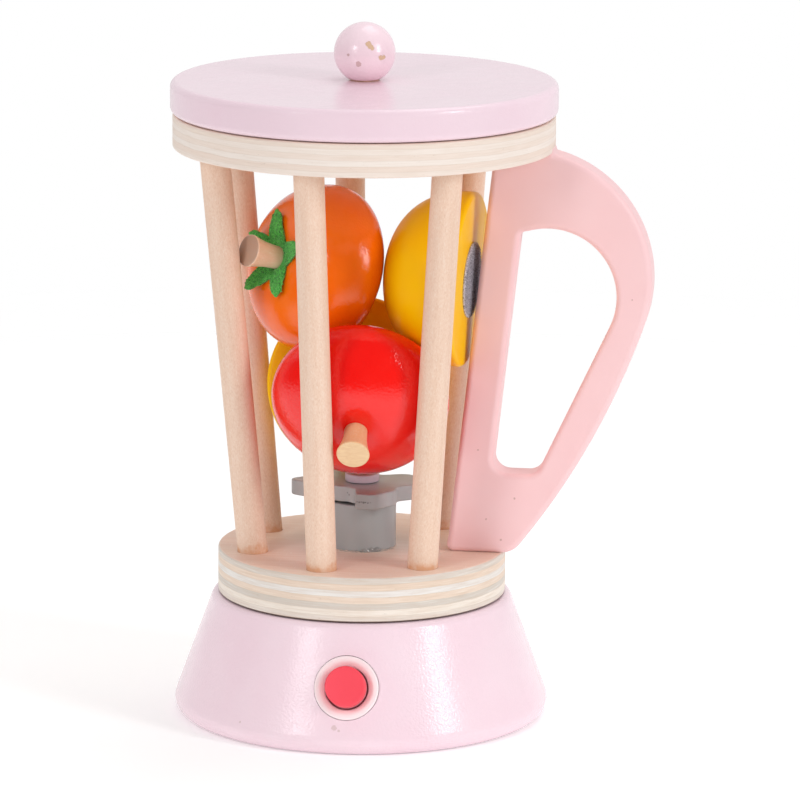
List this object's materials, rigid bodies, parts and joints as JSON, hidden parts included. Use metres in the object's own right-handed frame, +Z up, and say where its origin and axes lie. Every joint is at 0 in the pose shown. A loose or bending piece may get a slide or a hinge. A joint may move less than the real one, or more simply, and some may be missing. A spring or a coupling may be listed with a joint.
{
  "type": "toy blender",
  "caption": "Wooden pretend-play blender: painted conical base with a push button, lift-off dowel jug with a handle, ball-knob lid, turning cutter and toy fruit",
  "frame": {"origin": "on the axis of the base, on the surface it stands on", "axes": "+Z up, +X from the axis towards the handle, the push button on the -Y side"},
  "size_m": [0.1599, 0.1276, 0.2321],
  "materials": {
    "base_paint": "turned beech under pale pink sprayed paint",
    "bezel_paint": "turned beech under pale warm pink paint",
    "button_paint": "turned beech under coral red paint",
    "handle_paint": "plywood board under satin warm pink paint",
    "grey_paint": "plywood and beech under grey paint",
    "orange_paint": "turned wood under glossy orange paint",
    "red_paint": "turned wood under glossy red paint",
    "yellow_paint": "turned wood under satin yellow paint",
    "plywood": "birch plywood, lacquered clear",
    "beech": "beech, sanded",
    "stem_wood": "beech, sanded, uncoated",
    "axle_plastic": "pale lilac moulded plastic",
    "green_felt": "green felt",
    "hook_tape": "grey hook-and-loop tape",
    "steel": "zinc-plated steel"
  },
  "bodies": {
    "base": {"base_body": "base_paint", "button_ring": "bezel_paint", "locating_peg": "beech", "button_spring": "steel"},
    "button": {"push_button": "button_paint"},
    "jug": {"jug_floor": "plywood", "jug_ring": "plywood", "dowel_1": "beech", "dowel_2": "beech", "dowel_3": "beech", "dowel_4": "beech", "dowel_5": "beech", "dowel_6": "beech", "handle": "handle_paint", "handle_screws": "steel", "blade_hub": "grey_paint", "hub_screw": "steel", "blade_washer": "steel", "blade_axle": "axle_plastic"},
    "cutter": {"blade": "grey_paint"},
    "lid": {"lid_disc": "base_paint", "lid_plug": "plywood", "knob": "base_paint", "knob_pin": "beech"},
    "yellow_b": {"yellow_half_b": "yellow_paint", "loop_disc": "hook_tape"},
    "apple": {"apple": "red_paint", "apple_stem": "stem_wood"},
    "yellow_a": {"yellow_half_a": "yellow_paint", "hook_disc": "hook_tape"},
    "persimmon": {"persimmon": "orange_paint", "persimmon_calyx": "green_felt", "persimmon_stem": "stem_wood"}
  },
  "joints": [
    {"name": "button_press", "type": "slide", "parent": "base", "child": "button", "axis": [-0.0492, 0.939, -0.3404], "range_m": [0, 0.0035], "stiffness_N_per_m": 300, "springref_m": -0.004, "deforming": ["button_spring"]},
    {"name": "jug_lift", "type": "slide", "parent": "base", "child": "jug", "axis": [0, 0, 1], "range_m": [0, 0.06]},
    {"name": "blade_spin", "type": "hinge", "parent": "jug", "child": "cutter", "pos_m": [0, 0, 0.0754], "axis": [0, 0, 1], "continuous": true},
    {"name": "lid_lift", "type": "slide", "parent": "jug", "child": "lid", "axis": [0, 0, 1], "range_m": [0, 0.06]},
    {"name": "yellow_b_lift", "type": "slide", "parent": "jug", "child": "yellow_b", "axis": [0, 0, 1], "range_m": [0, 0.004]},
    {"name": "apple_lift", "type": "slide", "parent": "yellow_b", "child": "apple", "axis": [0, 0, 1], "range_m": [0, 0.004]},
    {"name": "yellow_a_lift", "type": "slide", "parent": "apple", "child": "yellow_a", "axis": [0, 0, 1], "range_m": [0, 0.004]},
    {"name": "persimmon_lift", "type": "slide", "parent": "yellow_a", "child": "persimmon", "axis": [0, 0, 1], "range_m": [0, 0.005]}
  ]
}
